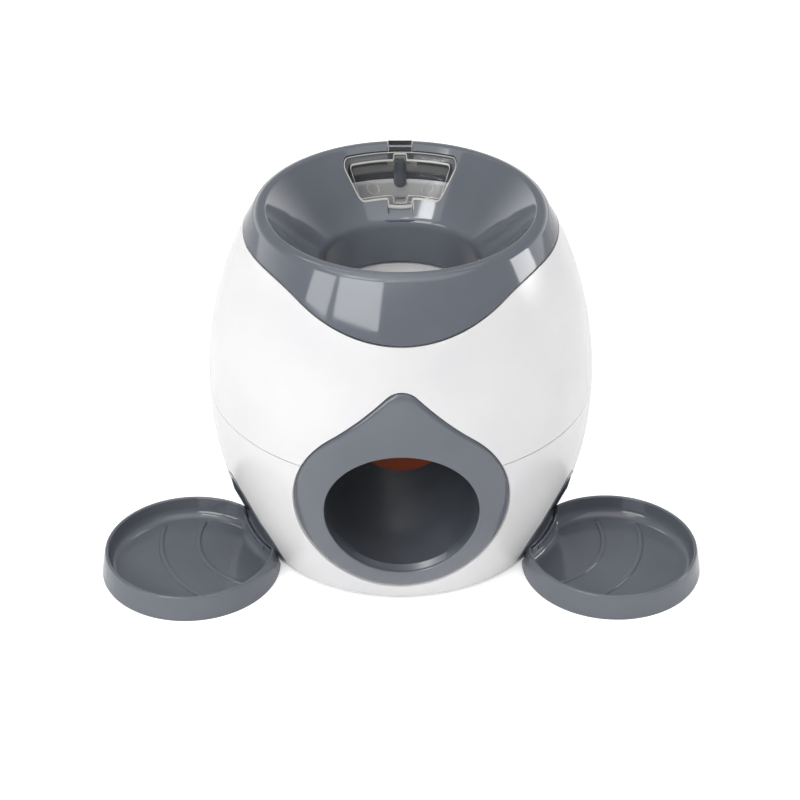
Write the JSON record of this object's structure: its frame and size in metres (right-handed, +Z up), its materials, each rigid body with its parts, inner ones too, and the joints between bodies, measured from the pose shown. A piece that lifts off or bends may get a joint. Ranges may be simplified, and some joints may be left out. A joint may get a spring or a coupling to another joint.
{
  "type": "pet treat dispenser",
  "caption": "Barrel-shaped ball-drop treat dispenser with a funnel top, a front ball exit with a trigger paddle, a hopper with a clear hinged lid and pull-out treat bowls.",
  "frame": {"origin": "centre of the footprint on the floor", "axes": "+Z up, the ball exit faces -Y, +X to the right of someone facing the exit's own way out"},
  "size_m": [0.2862, 0.1817, 0.1705],
  "materials": {
    "white_abs": "gloss white moulded ABS",
    "grey_abs": "gloss slate grey moulded ABS",
    "dark_abs": "satin dark grey moulded ABS",
    "orange_abs": "gloss orange moulded ABS",
    "smoke_clear": "clear smoke-tinted moulded plastic",
    "pin_steel": "plain drawn steel",
    "foot_rubber": "matt black rubber"
  },
  "bodies": {
    "housing": {"lower_shell": "white_abs", "upper_shell": "white_abs", "funnel_collar": "grey_abs", "exit_bezel": "grey_abs", "left_outlet_bezel": "grey_abs", "right_outlet_bezel": "grey_abs", "base_plate": "dark_abs", "front_left_foot": "foot_rubber", "front_right_foot": "foot_rubber", "back_left_foot": "foot_rubber", "back_right_foot": "foot_rubber", "ball_ramp": "dark_abs", "ball_chute": "white_abs", "hopper_bin": "white_abs", "left_slide": "dark_abs", "right_slide": "dark_abs", "lid_hinge_pin": "pin_steel"},
    "lid": {"hopper_lid": "smoke_clear"},
    "trigger": {"trigger_paddle": "orange_abs", "paddle_axle": "pin_steel", "paddle_crank": "grey_abs"},
    "rod": {"drive_rod": "pin_steel"},
    "gate": {"treat_gate": "orange_abs", "gate_shaft": "pin_steel", "gate_crank": "grey_abs"},
    "left_tray": {"left_bowl": "grey_abs"},
    "right_tray": {"right_bowl": "grey_abs"}
  },
  "joints": [
    {"name": "lid_hinge", "type": "hinge", "parent": "housing", "child": "lid", "pos_m": [0, 0.06301, 0.16821], "axis": [-1, 0, 0], "range_deg": [0, 115]},
    {"name": "trigger_swing", "type": "hinge", "parent": "housing", "child": "trigger", "pos_m": [0, -0.04, 0.10604], "axis": [-1, 0, 0], "range_deg": [0, 65], "stiffness_Nm_per_rad": 0.01},
    {"name": "rod_pivot", "type": "hinge", "parent": "trigger", "child": "rod", "pos_m": [0.049, -0.04, 0.09204], "axis": [-1, 0, 0], "range_deg": [-65, 0]},
    {"name": "gate_turn", "type": "hinge", "parent": "housing", "child": "gate", "pos_m": [0, 0.0573, 0.07774], "axis": [-1, 0, 0], "range_deg": [0, 65]},
    {"name": "left_bowl_pull", "type": "slide", "parent": "housing", "child": "left_tray", "axis": [-0.9063, -0.4226, 0], "range_m": [0, 0.06]},
    {"name": "right_bowl_pull", "type": "slide", "parent": "housing", "child": "right_tray", "axis": [0.9063, -0.4226, 0], "range_m": [0, 0.06]}
  ],
  "couplings": [
    {"joint": "rod_pivot", "follows": "trigger_swing", "ratio": -1},
    {"joint": "gate_turn", "follows": "trigger_swing", "ratio": 1}
  ]
}
